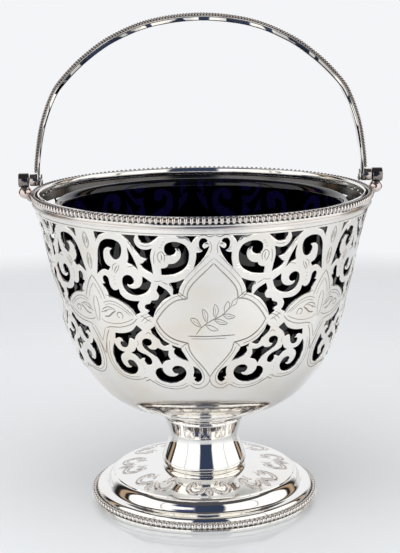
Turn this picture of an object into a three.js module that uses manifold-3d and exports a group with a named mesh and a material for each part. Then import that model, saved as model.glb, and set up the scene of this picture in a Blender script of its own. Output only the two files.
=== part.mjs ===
// Footed silver basket with a pierced bowl, a swing handle and a loose blue glass liner.
// Millimetres, +Z up. The origin is on the table under the middle of the foot, and the front is towards -Y.
// The handle stands upright in the XZ plane and swings about the X line through its two pins.

import * as THREE from 'three';
import { mergeVertices } from 'three/addons/utils/BufferGeometryUtils.js';
import Module from 'manifold-3d';

const wasm = await Module();
wasm.setup();

// Foot and stem, from the table up
const BASE_RADIUS = 40.7;
const BASE_RING_HEIGHT = 1.5;
const BASE_RING_WIDTH = 3.4;
const BASE_RING_BEVEL = 0.3;
const WIRE_SEAT_WIDTH = 2;
const FOOT_HEIGHT = 28.6;
const FOOT_WALL = 1.1;
const FOOT_WIRE_RADIUS = 0.75;
const STEM_RADIUS = 13.1;
const STEM_BORE_RADIUS = 7.5;
const STEM_RING_HEIGHT = 0.9;
const STEM_RING_PROJECTION = 0.6;
const COLLAR_HEIGHT = 5.3;
const COLLAR_TOP_RADIUS = 23.1;

// Bowl and rim
const BAND_RADIUS = 58.2;
const BOWL_DEPTH = 73.2;
const BOWL_WALL = 1.2;
const LIP_INSET = 2.4;
const LIP_WIDTH = 1.3;
const LIP_HEIGHT = 2.8;
const RIM_LEDGE_HEIGHT = 0.6;
const RIM_WIRE_RADIUS = 1.05;

// Pierced band: outlines are drawn in one half sector, on an angle and on a height above the band's foot
const PIERCED_BAND_FOOT = 17.2;
const PLAIN_BAND_WIDTH = 3.4;
const SECTORS = 4;

// Glass liner
const LINER_INSET = 4.8;
const LINER_BELOW_LIP = 3.2;
const LINER_WALL = 3;
const LINER_RIM_WIDTH = 2.4;
const LINER_RIM_SLOPE_HEIGHT = 1;
const LINER_FLOOR = 4.5;
const LINER_BASE_RADIUS = 20;
const LINER_FLOOR_RADIUS = 25;
const LINER_DRAFT = 0.03;

// Handle and its two hinges
const PIVOT_ABOVE_LIP = 4.2;
const HANDLE_RISE = 56;
const HANDLE_OUTSIDE_LIP = 1.8;
const STRAP_THICKNESS = 1;
const STRAP_TOP_WIDTH = 8;
const STRAP_END_WIDTH = 4.6;
const STRAP_TAPER_START = 4;
const STRAP_TAPER_LENGTH = 41;
const STRAP_WIRE_RADIUS = 0.45;
const STRAP_WIRE_GAP = 0.1;
const EYE_RADIUS = 2.1;
const EYE_LENGTH = 3.5;
const PIN_RADIUS = 0.9;
const PIN_HEAD_RADIUS = 2.1;
const PIN_HEAD_THICKNESS = 0.6;
const PIN_SEAT_DEPTH = 2.4;
const BARREL_RADIUS = 2.4;
const BARREL_LENGTH = 3.6;
const LUG_WIDTH = 3.2;
const LUG_ROOT_DEPTH = 3.6;
const LUG_THICKNESS = 1.2;
const LUG_BALL_RADIUS = 1.3;
const LUG_BALL_HEIGHT = 1.5;
const LUG_BALL_WIDTH = 3.8;

// Clearances
const RUNNING_GAP = 0.3;
const SEAT_GAP = 0.3;
const LINER_PLAY = 0.9;
const WIRE_GAP = 0.15;
const CUT_MARGIN = 2;

// Fineness of round pieces
const ROUND_STEPS = 32;
const WIRE_STEPS = 64;
const WIRE_SIDES = 6;
const SMALL_ROUND_STEPS = 16;
const HOOP_STEPS = 48;

// Heights and places that follow from the sizes above
const BOWL_UNDERSIDE = FOOT_HEIGHT + STEM_RING_HEIGHT + COLLAR_HEIGHT;
const BOWL_TOP = BOWL_UNDERSIDE + BOWL_DEPTH;
const LIP_TOP = BOWL_TOP + LIP_HEIGHT;
const LIP_RADIUS = BAND_RADIUS - LIP_INSET;
const LIP_OUTSIDE = LIP_RADIUS + LIP_WIDTH;
const LINER_RIM_RADIUS = LIP_RADIUS - LINER_INSET;
const RIM_WIRE_CENTRE = LIP_OUTSIDE + WIRE_GAP + RIM_WIRE_RADIUS;
const RIM_OUTSIDE = RIM_WIRE_CENTRE + RIM_WIRE_RADIUS;
const STEM_RING_RADIUS = STEM_RADIUS + STEM_RING_PROJECTION;
const PIVOT_HEIGHT = LIP_TOP + PIVOT_ABOVE_LIP;
const HANDLE_HALF_SPAN = LIP_RADIUS + HANDLE_OUTSIDE_LIP;
const STRAP_INSET = 2 * STRAP_WIRE_RADIUS + STRAP_WIRE_GAP;
const EYE_INSIDE = HANDLE_HALF_SPAN - STRAP_INSET - STRAP_THICKNESS;
const EYE_OUTSIDE = EYE_INSIDE + EYE_LENGTH;
const BARREL_INSIDE = EYE_OUTSIDE + RUNNING_GAP;
const BORE_RADIUS = PIN_RADIUS + RUNNING_GAP;

// Colours
const SILVER = { color: 0xd9d6d0, roughness: 0.18, metalness: 1 };
const SHADED_SILVER = { color: 0xb9b4ab, roughness: 0.3, metalness: 1 };
const BLUE_GLASS = { color: 0x0b1450, roughness: 0.05, metalness: 0 };

// Outline of the bowl's side, as radius and height above its underside, from the collar to the plain band
const BOWL_SIDE = [
  [23.1, 0], [31.1, 3.2], [36, 7.2], [40.8, 13.4], [43.9, 18],
  [47.6, 26], [51.3, 41], [54.5, 56.7], [57.5, 70], [58.2, 73.2],
];

// Outline of the foot's shell, as radius and height above the base ring, from the base up to the stem's top
const FOOT_SIDE = [
  [38.7, 0], [38.7, 2], [38.2, 3.3], [35.7, 4], [34.6, 5.5], [33.2, 7.1], [32.2, 7.6],
  [24, 9], [16.5, 10.1], [15.2, 10.7], [15.3, 13.4], [14.7, 16.7], [13.8, 20.1], [13.1, 27.1],
];

// Outline of the collar's side, as radius and height above the stem ring
const COLLAR_SIDE = [[13.1, 0], [13.5, 0.8], [14.7, 1.9], [17.1, 3.1], [19.9, 4], [23.1, 5.3]];

// Openings of one half sector, in degrees from the cartouche's axis and in millimetres above the band's foot
const OPENINGS = {
  upperScroll: [
    [13.6, 46.8], [15.8, 49], [12.8, 50.8], [8.5, 48.6], [8.6, 43.6],
    [12.4, 40.5], [17.2, 39.8], [17.3, 41.8], [11.2, 45],
  ],
  rimCup: [[17.7, 52.6], [24.2, 52.6], [22.8, 50.2], [20, 50.6]],
  leafGap: [[25.4, 52.5], [29.8, 52.5], [25.1, 46.8], [21.5, 45], [24.5, 43], [20.3, 40.2], [20.2, 48.3]],
  stemWedge: [[28.6, 48.1], [29.1, 43.2], [25.6, 41.2]],
  outerScroll: [
    [33.3, 43.9], [31.2, 47], [33.4, 50.4], [38.4, 49.2], [40.6, 44.6],
    [42.4, 38.1], [36.2, 41.1], [38.3, 43.6], [36.4, 47.6],
  ],
  middleScroll: [
    [24, 38.8], [21.1, 37], [24.6, 32.8], [30, 33], [31.9, 36.6], [28.6, 38.8], [29.6, 35.9], [26, 35],
  ],
  shoulderWedge: [[9.6, 38.5], [14.5, 37.1], [13.5, 33.3], [11.8, 33.6]],
  shoulderBean: [[18.5, 36.2], [18.4, 32.8], [23.4, 29.6], [23.1, 26.5], [21.1, 25.2], [18.8, 29.5], [14.4, 32.8]],
  hookGap: [
    [38.9, 37.9], [37.2, 34.6], [33.6, 33.4], [31, 30.6], [26, 30.3],
    [25.8, 26.6], [27.6, 25.7], [32, 29.4], [38.2, 30.7], [40.6, 34.8],
  ],
  lowerHook: [[27.9, 21.8], [32.4, 18.8], [37.7, 18.2], [37.9, 16.4], [35, 13.6], [32, 16.6], [25.9, 20.4]],
  waistSlit: [[20.8, 22], [22.4, 20.9], [18.8, 16.8], [15.5, 16.2], [19.1, 18.8]],
  branchGap: [[22.5, 16.2], [24.6, 17.5], [26.4, 15.4], [19.2, 8.5], [15.6, 10.6], [16.1, 13.7], [20.2, 14.5]],
  smallHook: [[29.1, 13.9], [31.8, 11.8], [25.8, 10.3], [24.6, 8], [23.4, 10], [26.4, 12]],
  lowerScroll: [[19.3, 7.2], [22.1, 6], [21, 2.6], [16.5, 1.6], [11, 3.2], [9.9, 6.6], [13.6, 8.3], [14.6, 4.8]],
  outerLowerScroll: [
    [39.1, 14.4], [41, 9.8], [38.8, 4.7], [32.7, 3.8], [30.2, 7],
    [33.4, 9], [35.4, 6], [37.2, 9.6], [35, 11.7],
  ],
};

const OPENINGS_HEIGHT = Math.max(...Object.values(OPENINGS).flat().map(([, height]) => height));

// Outer line of the handle's right half, as shares of its half span and of its rise
const HOOP_LINE = [
  [1, 0], [0.994, 0.12], [0.96, 0.33], [0.893, 0.52], [0.818, 0.63],
  [0.69, 0.757], [0.524, 0.873], [0.293, 0.965], [0, 1],
];

// Fits an outline between two radii and to a height
function fitOutline(outline, firstRadius, lastRadius, height) {
  const [first] = outline[0];
  const [last, top] = outline.at(-1);
  const fit = (r) => firstRadius + ((r - first) * (lastRadius - firstRadius)) / (last - first);
  return outline.map(([r, z]) => [fit(r), (z * height) / top]);
}

// Lifts an outline by a height
function lift(outline, height) {
  return outline.map(([r, z]) => [r, z + height]);
}

// Moves a line to its left-hand side by a distance, keeping its corners mitred
function offsetLine(line, distance) {
  return line.map(([x, y], i) => {
    const [ax, ay] = line[Math.max(i - 1, 0)];
    const [bx, by] = line[Math.min(i + 1, line.length - 1)];
    const before = new THREE.Vector2(x - ax, y - ay).normalize();
    const after = new THREE.Vector2(bx - x, by - y).normalize();
    const along = before.clone().add(after).normalize();
    const straight = Math.max(along.dot(i > 0 ? before : after), 0.5);
    return [x - (along.y * distance) / straight, y + (along.x * distance) / straight];
  });
}

// Radius of an outline at a height
function radiusAt(outline, height) {
  const i = outline.findIndex(([, z]) => z >= height);
  if (i < 1) return outline.at(i)[0];
  const [r0, z0] = outline[i - 1];
  const [r1, z1] = outline[i];
  return THREE.MathUtils.lerp(r0, r1, (height - z0) / (z1 - z0));
}

// Closed ring, or a body on the axis, turned about Z from a profile of radius and height
function turned(profile, steps = ROUND_STEPS) {
  const onAxis = profile[0][0] === 0;
  const points = profile.map(([r, z]) => new THREE.Vector2(r, z));
  if (!onAxis) points.push(points[0].clone());
  return new THREE.LatheGeometry(points, steps).rotateX(Math.PI / 2);
}

// Ring of round wire about Z
function wireRing(radius, height, wireRadius) {
  const profile = [];
  for (let i = 0; i < WIRE_SIDES; i++) {
    const angle = (i * 2 * Math.PI) / WIRE_SIDES;
    profile.push([radius + wireRadius * Math.cos(angle), height + wireRadius * Math.sin(angle)]);
  }
  return turned(profile, WIRE_STEPS);
}

// Flat outline in the XZ plane, made as wide as given along Y
function slab(outline, width) {
  const shape = new THREE.Shape(outline.map(([x, z]) => new THREE.Vector2(x, z)));
  const geometry = new THREE.ExtrudeGeometry(shape, { depth: width, bevelEnabled: false });
  return geometry.translate(0, 0, -width / 2).rotateX(Math.PI / 2);
}

// Cylinder along X between two places, on the handle's pivot line
function pivotCylinder(radius, fromX, toX) {
  const geometry = new THREE.CylinderGeometry(radius, radius, toX - fromX, SMALL_ROUND_STEPS);
  return geometry.rotateZ(-Math.PI / 2).translate((fromX + toX) / 2, 0, PIVOT_HEIGHT);
}

// Closed mesh with shared corners, without the empty triangles at the axis
function closed(geometry) {
  const bare = geometry.clone();
  bare.deleteAttribute('normal');
  bare.deleteAttribute('uv');
  const merged = mergeVertices(bare, 1e-4);
  const old = merged.index.array;
  const kept = [];
  for (let i = 0; i < old.length; i += 3) {
    const [a, b, c] = [old[i], old[i + 1], old[i + 2]];
    if (a !== b && b !== c && c !== a) kept.push(a, b, c);
  }
  merged.setIndex(kept);
  return merged;
}

function solid(geometry) {
  const mesh = closed(geometry);
  return new wasm.Manifold(new wasm.Mesh({
    numProp: 3,
    vertProperties: new Float32Array(mesh.attributes.position.array),
    triVerts: new Uint32Array(mesh.index.array),
  }));
}

function fromSolid(body) {
  const { vertProperties, triVerts } = body.getMesh();
  const geometry = new THREE.BufferGeometry();
  geometry.setAttribute('position', new THREE.BufferAttribute(vertProperties, 3));
  geometry.setIndex(new THREE.BufferAttribute(triVerts, 1));
  return geometry;
}

// The same body on the other side of the YZ plane
function mirrored(geometry) {
  const mesh = closed(geometry).scale(-1, 1, 1);
  const index = mesh.index.array;
  for (let i = 0; i < index.length; i += 3) [index[i], index[i + 1]] = [index[i + 1], index[i]];
  return mesh;
}

const bowlOutside = lift(fitOutline(BOWL_SIDE, COLLAR_TOP_RADIUS, BAND_RADIUS, BOWL_DEPTH), BOWL_UNDERSIDE);
const bowlInside = offsetLine(bowlOutside, BOWL_WALL);
bowlInside[0] = [bowlOutside[0][0], BOWL_UNDERSIDE + BOWL_WALL];
bowlInside[bowlInside.length - 1] = [BAND_RADIUS - BOWL_WALL, BOWL_TOP];

// One opening as a wedge that runs out from inside the bowl to outside it
function openingCutter(outline, sector, side) {
  const stretch = (BOWL_DEPTH - PIERCED_BAND_FOOT - PLAIN_BAND_WIDTH) / OPENINGS_HEIGHT;
  const corners = outline.map(([degrees, height]) => {
    const turn = sector * (360 / SECTORS) + side * degrees;
    return new THREE.Vector2(THREE.MathUtils.degToRad(turn), height * stretch);
  });
  if (THREE.ShapeUtils.isClockWise(corners)) corners.reverse();
  const foot = BOWL_UNDERSIDE + PIERCED_BAND_FOOT;
  const innerRadius = radiusAt(bowlInside, foot) - CUT_MARGIN - BOWL_WALL;
  const outerRadius = BAND_RADIUS + CUT_MARGIN;
  const position = [];
  for (const radius of [innerRadius, outerRadius]) {
    for (const { x: angle, y: rise } of corners) {
      position.push(radius * Math.sin(angle), -radius * Math.cos(angle), foot + rise);
    }
  }
  const count = corners.length;
  const index = [];
  for (const [a, b, c] of THREE.ShapeUtils.triangulateShape(corners, [])) {
    index.push(c, b, a, a + count, b + count, c + count);
  }
  for (let i = 0; i < count; i++) {
    const next = (i + 1) % count;
    index.push(i, next, next + count, i, next + count, i + count);
  }
  const geometry = new THREE.BufferGeometry();
  geometry.setAttribute('position', new THREE.Float32BufferAttribute(position, 3));
  geometry.setIndex(index);
  return geometry;
}

function bowl() {
  let body = solid(turned([[0, BOWL_UNDERSIDE], ...bowlOutside, ...bowlInside.toReversed(), [0, bowlInside[0][1]]]));
  for (const outline of Object.values(OPENINGS)) {
    for (let sector = 0; sector < SECTORS; sector++) {
      for (const side of [-1, 1]) {
        body = body.subtract(solid(openingCutter(outline, sector, side)));
      }
    }
  }
  return fromSolid(body);
}

// Applied moulding: a ledge under the beads and the lip that stands inside them
function rimMoulding() {
  const ledgeTop = BOWL_TOP + RIM_LEDGE_HEIGHT;
  return turned([
    [LIP_RADIUS, BOWL_TOP],
    [RIM_WIRE_CENTRE, BOWL_TOP],
    [RIM_WIRE_CENTRE, ledgeTop],
    [LIP_OUTSIDE, ledgeTop],
    [LIP_OUTSIDE, LIP_TOP - LIP_WIDTH / 2],
    [LIP_RADIUS + LIP_WIDTH / 2, LIP_TOP],
    [LIP_RADIUS, LIP_TOP],
  ]);
}

function rimBeadWire() {
  const height = BOWL_TOP + RIM_LEDGE_HEIGHT + WIRE_GAP + RIM_WIRE_RADIUS;
  return wireRing(RIM_WIRE_CENTRE, height, RIM_WIRE_RADIUS);
}

function footOutside() {
  const base = BASE_RADIUS - WIRE_SEAT_WIDTH;
  return lift(fitOutline(FOOT_SIDE, base, STEM_RADIUS, FOOT_HEIGHT - BASE_RING_HEIGHT), BASE_RING_HEIGHT);
}

function foot() {
  const outside = footOutside();
  const inside = offsetLine(outside, FOOT_WALL);
  inside[0] = [outside[0][0] - FOOT_WALL, BASE_RING_HEIGHT];
  inside[inside.length - 1] = [outside.at(-1)[0] - FOOT_WALL, FOOT_HEIGHT];
  return turned([...outside, ...inside.toReversed()]);
}

function footBaseRing() {
  return turned([
    [BASE_RADIUS - BASE_RING_WIDTH, 0],
    [BASE_RADIUS, 0],
    [BASE_RADIUS, BASE_RING_HEIGHT - BASE_RING_BEVEL],
    [BASE_RADIUS - BASE_RING_BEVEL, BASE_RING_HEIGHT],
    [BASE_RADIUS - BASE_RING_WIDTH, BASE_RING_HEIGHT],
  ]);
}

function footBeadWire() {
  const radius = BASE_RADIUS - WIRE_SEAT_WIDTH + WIRE_GAP + FOOT_WIRE_RADIUS;
  return wireRing(radius, BASE_RING_HEIGHT + WIRE_GAP + FOOT_WIRE_RADIUS, FOOT_WIRE_RADIUS);
}

// Thin ring soldered between the stem and the collar
function stemRing() {
  const [bottom, top] = [FOOT_HEIGHT, FOOT_HEIGHT + STEM_RING_HEIGHT];
  return turned([
    [STEM_BORE_RADIUS, bottom],
    [STEM_RADIUS, bottom],
    [STEM_RING_RADIUS, (bottom + top) / 2],
    [STEM_RADIUS, top],
    [STEM_BORE_RADIUS, top],
  ]);
}

// Trumpet that spreads from the stem to the bowl's underside
function stemCollar() {
  const bottom = FOOT_HEIGHT + STEM_RING_HEIGHT;
  const outside = lift(fitOutline(COLLAR_SIDE, STEM_RADIUS, COLLAR_TOP_RADIUS, COLLAR_HEIGHT), bottom);
  return turned([...outside, [STEM_BORE_RADIUS, BOWL_UNDERSIDE], [STEM_BORE_RADIUS, bottom]]);
}

// Cup that stands on the bowl's floor, follows its side with some play and ends in a flat ground rim
function glassLiner() {
  const base = BOWL_UNDERSIDE + BOWL_WALL + SEAT_GAP;
  const floor = base + LINER_FLOOR;
  const rim = LIP_TOP - LINER_BELOW_LIP;
  const side = offsetLine(bowlOutside, BOWL_WALL + LINER_PLAY)
    .filter(([r, z]) => r > LINER_BASE_RADIUS && z > base + SEAT_GAP && z < rim - LINER_WALL)
    .map(([r, z]) => [Math.min(r, LINER_RIM_RADIUS - LINER_DRAFT * (rim - z)), z]);
  const outside = [[LINER_BASE_RADIUS, base], ...side, [LINER_RIM_RADIUS, rim]];
  const inside = offsetLine(outside, LINER_WALL)
    .filter(([r, z]) => r > LINER_FLOOR_RADIUS && z > floor && z < rim - LINER_RIM_SLOPE_HEIGHT);
  return turned([
    [0, base], ...outside, [LINER_RIM_RADIUS - LINER_RIM_WIDTH, rim],
    [LINER_RIM_RADIUS - LINER_WALL, rim - LINER_RIM_SLOPE_HEIGHT],
    ...inside.toReversed(), [LINER_FLOOR_RADIUS, floor], [0, floor],
  ]);
}

// Half width of the strap at a height
function strapHalfWidth(height) {
  const share = (height - PIVOT_HEIGHT - STRAP_TAPER_START) / STRAP_TAPER_LENGTH;
  return THREE.MathUtils.lerp(STRAP_END_WIDTH, STRAP_TOP_WIDTH, THREE.MathUtils.clamp(share, 0, 1)) / 2;
}

// Points of the hoop, moved in from its outer line by a distance
function hoopLine(inset, steps) {
  const right = HOOP_LINE.map(([x, z]) => [x * HANDLE_HALF_SPAN, PIVOT_HEIGHT + z * HANDLE_RISE]);
  const left = right.slice(0, -1).map(([x, z]) => [-x, z]).toReversed();
  const knots = [...right, ...left].map(([x, z]) => new THREE.Vector2(x, z));
  const line = new THREE.SplineCurve(knots).getPoints(steps).map((p) => [p.x, p.y]);
  return offsetLine(line, inset);
}

// Block that narrows from the top of the handle to its ends, as wide as the whole hoop
function taperBlock() {
  const top = PIVOT_HEIGHT + HANDLE_RISE + CUT_MARGIN;
  const bottom = PIVOT_HEIGHT - EYE_RADIUS - CUT_MARGIN;
  const bends = [bottom, PIVOT_HEIGHT + STRAP_TAPER_START, PIVOT_HEIGHT + STRAP_TAPER_START + STRAP_TAPER_LENGTH, top];
  const right = bends.map((z) => [strapHalfWidth(z), z]);
  const left = right.map(([y, z]) => [-y, z]).toReversed();
  return slab([...right, ...left], 2 * (HANDLE_HALF_SPAN + CUT_MARGIN)).rotateZ(Math.PI / 2);
}

function handleStrap() {
  const outside = hoopLine(STRAP_INSET, HOOP_STEPS);
  const inside = hoopLine(STRAP_INSET + STRAP_THICKNESS, HOOP_STEPS).toReversed();
  const hoop = solid(slab([...outside, ...inside], STRAP_TOP_WIDTH));
  let body = hoop.intersect(solid(taperBlock()));
  const eye = pivotCylinder(EYE_RADIUS, EYE_INSIDE, EYE_OUTSIDE);
  const bore = pivotCylinder(BORE_RADIUS, EYE_INSIDE - CUT_MARGIN, EYE_OUTSIDE + CUT_MARGIN);
  for (const end of [eye, mirrored(eye)]) body = body.add(solid(end));
  for (const hole of [bore, mirrored(bore)]) body = body.subtract(solid(hole));
  return fromSolid(body);
}

// Line of the wire along one edge of the strap's outer face
class StrapEdge extends THREE.Curve {
  constructor(side) {
    super();
    this.side = side;
    const line = hoopLine(STRAP_WIRE_RADIUS, 2 * HOOP_STEPS).filter(([, z]) => z > PIVOT_HEIGHT + EYE_RADIUS + SEAT_GAP);
    const knots = line.map(([x, z]) => new THREE.Vector3(x, 0, z));
    this.middle = new THREE.CatmullRomCurve3(knots);
  }

  getPoint(t, target = new THREE.Vector3()) {
    const point = this.middle.getPoint(t, target);
    point.y = this.side * (strapHalfWidth(point.z) - STRAP_WIRE_RADIUS);
    return point;
  }
}

function handleBeadWire(side) {
  const section = new THREE.Shape();
  section.absarc(0, 0, STRAP_WIRE_RADIUS, 0, 2 * Math.PI, false);
  return new THREE.ExtrudeGeometry(new THREE.Shape(section.getPoints(2).slice(0, -1)), {
    extrudePath: new StrapEdge(side),
    steps: HOOP_STEPS,
    bevelEnabled: false,
  });
}

// Pin with its round head inside the handle's eye and its end in the lug's barrel
function hingePin() {
  const headOutside = EYE_INSIDE - RUNNING_GAP;
  const headInside = headOutside - PIN_HEAD_THICKNESS;
  const head = solid(pivotCylinder(PIN_HEAD_RADIUS, headInside, headOutside));
  const shaft = solid(pivotCylinder(PIN_RADIUS, headInside, BARREL_INSIDE + PIN_SEAT_DEPTH));
  return fromSolid(head.add(shaft));
}

// Cast lug: a scroll that climbs from the plain band past the beads and carries the barrel, with a ball on its back
function hingeLug() {
  const bandFace = BAND_RADIUS + SEAT_GAP;
  const beadFace = RIM_OUTSIDE + SEAT_GAP;
  const back = BARREL_INSIDE + BARREL_LENGTH;
  const barrelCentre = BARREL_INSIDE + BARREL_LENGTH / 2;
  const root = BOWL_TOP - LUG_ROOT_DEPTH;
  const outline = [
    [bandFace, root], [bandFace + LUG_THICKNESS, root], [beadFace + LUG_THICKNESS, root + LUG_THICKNESS],
    [beadFace + LUG_THICKNESS, BOWL_TOP], [back - LUG_THICKNESS, BOWL_TOP + LUG_THICKNESS],
    [back - LUG_THICKNESS / 2, PIVOT_HEIGHT - BARREL_RADIUS], [barrelCentre, PIVOT_HEIGHT - BARREL_RADIUS / 2],
    [BARREL_INSIDE + SEAT_GAP, PIVOT_HEIGHT - BARREL_RADIUS / 2], [BARREL_INSIDE + SEAT_GAP, LIP_TOP],
    [beadFace, BOWL_TOP + LIP_HEIGHT / 2], [beadFace, BOWL_TOP - SEAT_GAP],
    [bandFace, BOWL_TOP - 2 * SEAT_GAP],
  ];
  const ball = new THREE.SphereGeometry(LUG_BALL_RADIUS, SMALL_ROUND_STEPS, SMALL_ROUND_STEPS / 2)
    .scale(1, LUG_BALL_WIDTH / (2 * LUG_BALL_RADIUS), 1)
    .translate(back - LUG_BALL_RADIUS, 0, BOWL_TOP + LUG_BALL_HEIGHT);
  const barrel = pivotCylinder(BARREL_RADIUS, BARREL_INSIDE, back);
  const bore = pivotCylinder(BORE_RADIUS, BARREL_INSIDE - CUT_MARGIN, BARREL_INSIDE + PIN_SEAT_DEPTH + SEAT_GAP);
  const scroll = solid(slab(outline, LUG_WIDTH));
  return fromSolid(scroll.add(solid(ball)).add(solid(barrel)).subtract(solid(bore)));
}

const basket = new THREE.Group();

function add(name, geometry, look) {
  const mesh = new THREE.Mesh(geometry, new THREE.MeshStandardMaterial(look));
  mesh.name = name;
  basket.add(mesh);
}

add('foot_base_ring', footBaseRing(), SILVER);
add('foot', foot(), SILVER);
add('foot_bead_wire', footBeadWire(), SHADED_SILVER);
add('stem_ring', stemRing(), SILVER);
add('stem_collar', stemCollar(), SILVER);
add('bowl', bowl(), SILVER);
add('rim_moulding', rimMoulding(), SILVER);
add('rim_bead_wire', rimBeadWire(), SHADED_SILVER);
add('hinge_lug_right', hingeLug(), SHADED_SILVER);
add('hinge_lug_left', mirrored(hingeLug()), SHADED_SILVER);
add('hinge_pin_right', hingePin(), SILVER);
add('hinge_pin_left', mirrored(hingePin()), SILVER);
add('handle_strap', handleStrap(), SILVER);
add('handle_bead_wire_front', handleBeadWire(-1), SHADED_SILVER);
add('handle_bead_wire_back', handleBeadWire(1), SHADED_SILVER);
add('glass_liner', glassLiner(), BLUE_GLASS);

export default basket;
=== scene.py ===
# Footed silver basket: a pierced bowl, a loose blue glass liner, beaded rim and foot, and a swing handle.
# Lengths are millimetres, heights are from the table top, and angles are degrees from the front.

import math
from contextlib import contextmanager

import bpy
import numpy as np
from mathutils import Matrix, Vector


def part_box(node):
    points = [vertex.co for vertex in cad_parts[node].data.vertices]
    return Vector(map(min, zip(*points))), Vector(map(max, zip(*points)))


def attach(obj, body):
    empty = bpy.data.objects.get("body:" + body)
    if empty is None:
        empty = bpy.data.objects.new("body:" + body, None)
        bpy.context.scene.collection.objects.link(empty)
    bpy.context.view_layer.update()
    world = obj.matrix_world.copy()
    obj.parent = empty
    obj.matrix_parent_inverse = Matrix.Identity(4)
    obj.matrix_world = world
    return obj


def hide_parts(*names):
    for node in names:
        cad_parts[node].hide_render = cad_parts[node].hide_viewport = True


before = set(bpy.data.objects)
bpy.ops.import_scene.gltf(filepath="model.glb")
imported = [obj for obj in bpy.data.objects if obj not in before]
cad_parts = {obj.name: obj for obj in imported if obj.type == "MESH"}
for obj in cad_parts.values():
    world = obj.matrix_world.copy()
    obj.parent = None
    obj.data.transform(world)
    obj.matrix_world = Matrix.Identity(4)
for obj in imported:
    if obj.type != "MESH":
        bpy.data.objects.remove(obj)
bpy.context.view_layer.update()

MM = 0.001
X, Y, Z = 0, 1, 2


def span(node, axis):
    """Where a CAD node starts and ends along an axis."""
    return [round(corner[axis] / MM, 2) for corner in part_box(node)]


# Hinges and handle, from the frame
PIN_START, PIN_END = span("hinge_pin_right", X)
PIN_HEAD_BOTTOM, PIN_HEAD_TOP = span("hinge_pin_right", Z)
PIVOT_HEIGHT = (PIN_HEAD_BOTTOM + PIN_HEAD_TOP) / 2
PIN_HEAD_RADIUS = (PIN_HEAD_TOP - PIN_HEAD_BOTTOM) / 2
HANDLE_RISE = span("handle_bead_wire_front", Z)[1] - PIVOT_HEIGHT
EYE_START, EYE_END = 55.6, span("handle_strap", X)[1]
PIN_HEAD_END = 55.3
SHAFT_START, SHAFT_RADIUS = 54.9, 0.9
BARREL_START, BARREL_END = 59.4, span("hinge_lug_right", X)[1]
BARREL_RADIUS = span("hinge_lug_right", Z)[1] - PIVOT_HEIGHT
LUG_WIDTH = 3.2
LUG_BALL, LUG_BALL_HALVES = (60.8, 0, 110.8), (2.3, 2.4, 2.2)

HANDLE_HALF_SPAN = 57.6
STRAP_ENDS = 4.6
STRAP_MIDDLE = 8
STRAP_THICKNESS = 1.0
STRAP_DEPTH = 1.5
STRAP_WIDENS_FROM = 4
STRAP_WIDENS_OVER = 41

# The bowl and the foot's dome are drawn flat, with this many millimetres to a degree.
BOWL_DEGREE = 0.96
DOME_DEGREE = 0.436
BOWL_WALL = 0.8
FOOT_WALL = 1.0
# The bowl's pattern turns by LEAN degrees over LEAN_SPAN of height, and not at LEAN_MIDDLE.
LEAN, LEAN_MIDDLE, LEAN_SPAN = 1.3, 80, 50
# Degrees between the columns of the bowl's mesh, and millimetres between its rows
BOWL_COLUMN = 3.0
BOWL_ROW = 3.2
SECTORS = 4
HALF_SECTOR = 180 / SECTORS
SPRIGS = 8

STROKE_STEP = 0.7
TURNED_STEP = 0.5
CLOSE = 1e-6
MERGED = {"use_merge_vertices": True, "merge_threshold": CLOSE}

# Beads as radius and height of their ring, count, width, depth and height of one, and radius of their wire
FOOT_BEADS = (39.75, 2.5, 135, 1.78, 1.8, 1.95, 0.7)
RIM_BEADS = (58.3, 109.8, 198, 1.5, 2, 2.45, 0.72)
BEAD_MESH = (8, 6)

# Outlines of radius and height. A third value marks a corner; the line flows through the other points.
BOWL_OUTSIDE = [
    (0, 34.8, 1), (22.6, 34.8), (24.6, 35.15), (27.6, 36.3), (31.1, 38.1), (36, 42.1), (40.8, 48.3),
    (44.1, 53.6), (47, 60.4), (49.5, 68.5), (51.4, 77), (53.1, 86), (54.8, 94.5), (56.4, 101), (57.5, 105),
    (58.2, 108, 1),
]
FOOT_OUTSIDE = [
    (38.7, 1.5, 1), (38.7, 3.6, 1), (38.3, 4.5), (37.9, 4.8, 1), (36.3, 4.98), (35.8, 5), (35.3, 5.15),
    (34.95, 5.5), (34.5, 6.4), (34.05, 7.4), (33.8, 7.8), (33.5, 8.2), (33.1, 8.6), (32.7, 8.85),
    (32.4, 8.95, 1), (32.2, 9.25), (31.8, 9.2, 1), (28.5, 10.1), (25, 10.8), (21, 11.35), (17.6, 11.65),
    (14.2, 11.8, 1), (14.85, 12.3), (15.2, 12.9), (15.22, 13.8), (14.95, 14.8), (14.53, 15.9), (14.1, 17),
    (13.65, 18.1), (13.2, 19.2), (12.75, 20.3), (12.4, 21.4), (12.28, 22.6), (12.45, 24), (12.8, 25.4),
    (13.25, 26.8), (13.7, 27.9), (14, 28.6, 1),
]
COLLAR_OUTSIDE = [
    (14, 29.5, 1), (14.3, 30.3), (15.2, 31.3), (17.1, 32.6), (19.9, 33.5), (23.1, 34.5, 1), (23.1, 34.8, 1),
]
COLLAR_BORE = [(7.5, 34.8), (7.5, 29.5)]
BASE_RING = [
    (37.4, 0), (40.3, 0), (40.62, 0.1), (40.7, 0.4), (40.7, 1.1), (40.62, 1.4), (40.3, 1.5), (37.4, 1.5),
]
STEM_RING = [
    (7.5, 28.6, 1), (14, 28.6, 1), (14.1, 28.8), (14.14, 29.05), (14.1, 29.3), (14, 29.5, 1), (7.5, 29.5, 1),
]
RIM_LIP = [
    (55.8, 108, 1), (58.3, 108, 1), (58.45, 108.3), (58.3, 108.6, 1), (56.75, 108.6, 1), (56.75, 110.3, 1),
    (56.65, 110.65), (56.4, 110.8), (56.1, 110.75), (55.9, 110.5), (55.8, 110.1, 1),
]
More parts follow.
